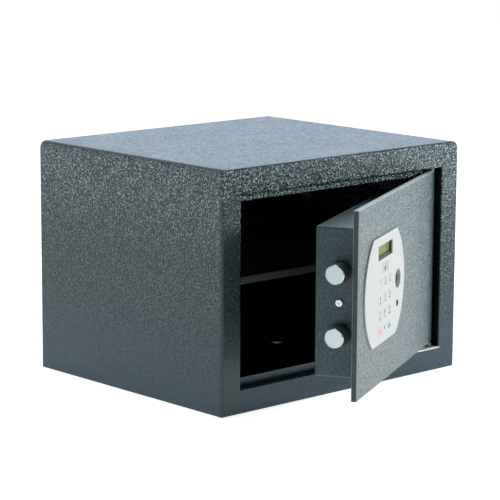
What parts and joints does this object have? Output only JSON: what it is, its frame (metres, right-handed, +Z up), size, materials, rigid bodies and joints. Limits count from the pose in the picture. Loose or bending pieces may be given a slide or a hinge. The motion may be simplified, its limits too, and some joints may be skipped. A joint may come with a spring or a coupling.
{
  "type": "in room safe",
  "caption": "Steel in-room safe with a hinged door, round locking bolts, keypad panel with display and finger dish, and a shelf inside.",
  "frame": {"origin": "centre of the cabinet's base, on the surface that the safe stands on", "axes": "+X to the right seen from the front, +Y back into the cabinet, +Z up"},
  "size_m": [0.35, 0.4287, 0.255],
  "materials": {
    "body_paint": "coarse orange-peel powder coat",
    "door_paint": "fine speckled powder coat",
    "shelf_paint": "matt powder coat",
    "brass": "turned",
    "felt": "needle felt",
    "plated_steel": "zinc plated",
    "zinc_screws": "bright zinc",
    "bolt_chrome": "polished chrome",
    "black_plastic": "moulded",
    "motor_can": "satin",
    "board_green": "solder mask",
    "battery_sleeve": "printed sleeve",
    "fascia_white": "fine satin",
    "key_white": "fine satin",
    "dome_mat": "film",
    "display_glass": "glossy",
    "display_module": "moulded",
    "sensor_grey": "satin",
    "sensor_dark": "glossy",
    "ribbon_grey": "smooth",
    "wire_red": "smooth",
    "button_red": "satin"
  },
  "bodies": {
    "cabinet": {"body_wrap": "body_paint", "floor_plate": "body_paint", "back_plate": "body_paint", "front_frame": "body_paint", "stop_lip": "body_paint", "hinge_brackets": "body_paint", "hinge_washers": "brass", "shelf": "shelf_paint", "shelf_brackets": "shelf_paint", "floor_mat": "felt"},
    "door": {"door_plate": "door_paint", "hinge_pins": "plated_steel", "lock_cover": "door_paint", "cover_brackets": "plated_steel", "cover_screws": "zinc_screws", "bolt_bushes": "black_plastic", "bolt_guide": "plated_steel", "lock_chassis": "plated_steel", "plate_screws": "zinc_screws", "gearbox": "black_plastic", "motor": "motor_can", "limit_switch": "black_plastic", "circuit_board": "board_green", "board_standoffs": "black_plastic", "battery_holder": "black_plastic", "batteries": "battery_sleeve", "reset_switch": "black_plastic", "keypad_fascia": "fascia_white", "fascia_screws": "zinc_screws", "key_dome_mat": "dome_mat", "keypad_board": "board_green", "lcd_bezel": "black_plastic", "lcd_glass": "display_glass", "lcd_module": "display_module", "sensor_bezel": "sensor_grey", "sensor_window": "sensor_dark", "service_port": "black_plastic", "ribbon_cable": "ribbon_grey", "wiring": "wire_red"},
    "bolts": {"bolt_upper": "bolt_chrome", "bolt_lower": "bolt_chrome", "bolt_bar": "plated_steel", "bolt_rack": "plated_steel", "bolt_screws": "zinc_screws"},
    "pinion": {"drive_pinion": "plated_steel"},
    "battery_lid": {"battery_lid": "black_plastic"},
    "reset_button": {"reset_button": "button_red"},
    "key_1": {"key_1": "key_white"},
    "key_2": {"key_2": "key_white"},
    "key_3": {"key_3": "key_white"},
    "key_4": {"key_4": "key_white"},
    "key_5": {"key_5": "key_white"},
    "key_6": {"key_6": "key_white"},
    "key_7": {"key_7": "key_white"},
    "key_8": {"key_8": "key_white"},
    "key_9": {"key_9": "key_white"},
    "key_clear": {"key_clear": "key_white"},
    "key_0": {"key_0": "key_white"},
    "key_enter": {"key_enter": "key_white"}
  },
  "joints": [
    {"name": "door_hinge", "type": "hinge", "parent": "cabinet", "child": "door", "pos_m": [0.1409, -0.1415, 0.1275], "axis": [0, 0, 1], "range_deg": [-28, 72]},
    {"name": "bolt_slide", "type": "slide", "parent": "door", "child": "bolts", "axis": [-0.8829, -0.4695, 0], "range_m": [-0.02, 0]},
    {"name": "pinion_spin", "type": "hinge", "parent": "door", "child": "pinion", "pos_m": [-0.02377, -0.20754, 0.1175], "axis": [-0.4695, 0.8829, 0], "range_deg": [-0.5, 143.5]},
    {"name": "battery_lid_slide", "type": "slide", "parent": "door", "child": "battery_lid", "axis": [-0.8829, -0.4695, 0], "range_m": [0, 0.058]},
    {"name": "reset_press", "type": "slide", "parent": "door", "child": "reset_button", "axis": [0.4695, -0.8829, 0], "range_m": [0, 0.0015], "stiffness_N_per_m": 400, "springref_m": -0.0006},
    {"name": "key_1_press", "type": "slide", "parent": "door", "child": "key_1", "axis": [-0.4695, 0.8829, 0], "range_m": [0, 0.0005], "stiffness_N_per_m": 800, "springref_m": -0.0003},
    {"name": "key_2_press", "type": "slide", "parent": "door", "child": "key_2", "axis": [-0.4695, 0.8829, 0], "range_m": [0, 0.0005], "stiffness_N_per_m": 800, "springref_m": -0.0003},
    {"name": "key_3_press", "type": "slide", "parent": "door", "child": "key_3", "axis": [-0.4695, 0.8829, 0], "range_m": [0, 0.0005], "stiffness_N_per_m": 800, "springref_m": -0.0003},
    {"name": "key_4_press", "type": "slide", "parent": "door", "child": "key_4", "axis": [-0.4695, 0.8829, 0], "range_m": [0, 0.0005], "stiffness_N_per_m": 800, "springref_m": -0.0003},
    {"name": "key_5_press", "type": "slide", "parent": "door", "child": "key_5", "axis": [-0.4695, 0.8829, 0], "range_m": [0, 0.0005], "stiffness_N_per_m": 800, "springref_m": -0.0003},
    {"name": "key_6_press", "type": "slide", "parent": "door", "child": "key_6", "axis": [-0.4695, 0.8829, 0], "range_m": [0, 0.0005], "stiffness_N_per_m": 800, "springref_m": -0.0003},
    {"name": "key_7_press", "type": "slide", "parent": "door", "child": "key_7", "axis": [-0.4695, 0.8829, 0], "range_m": [0, 0.0005], "stiffness_N_per_m": 800, "springref_m": -0.0003},
    {"name": "key_8_press", "type": "slide", "parent": "door", "child": "key_8", "axis": [-0.4695, 0.8829, 0], "range_m": [0, 0.0005], "stiffness_N_per_m": 800, "springref_m": -0.0003},
    {"name": "key_9_press", "type": "slide", "parent": "door", "child": "key_9", "axis": [-0.4695, 0.8829, 0], "range_m": [0, 0.0005], "stiffness_N_per_m": 800, "springref_m": -0.0003},
    {"name": "key_clear_press", "type": "slide", "parent": "door", "child": "key_clear", "axis": [-0.4695, 0.8829, 0], "range_m": [0, 0.0005], "stiffness_N_per_m": 800, "springref_m": -0.0003},
    {"name": "key_0_press", "type": "slide", "parent": "door", "child": "key_0", "axis": [-0.4695, 0.8829, 0], "range_m": [0, 0.0005], "stiffness_N_per_m": 800, "springref_m": -0.0003},
    {"name": "key_enter_press", "type": "slide", "parent": "door", "child": "key_enter", "axis": [-0.4695, 0.8829, 0], "range_m": [0, 0.0005], "stiffness_N_per_m": 800, "springref_m": -0.0003}
  ],
  "couplings": [
    {"joint": "pinion_spin", "follows": "bolt_slide", "rad_per_m": -125}
  ]
}
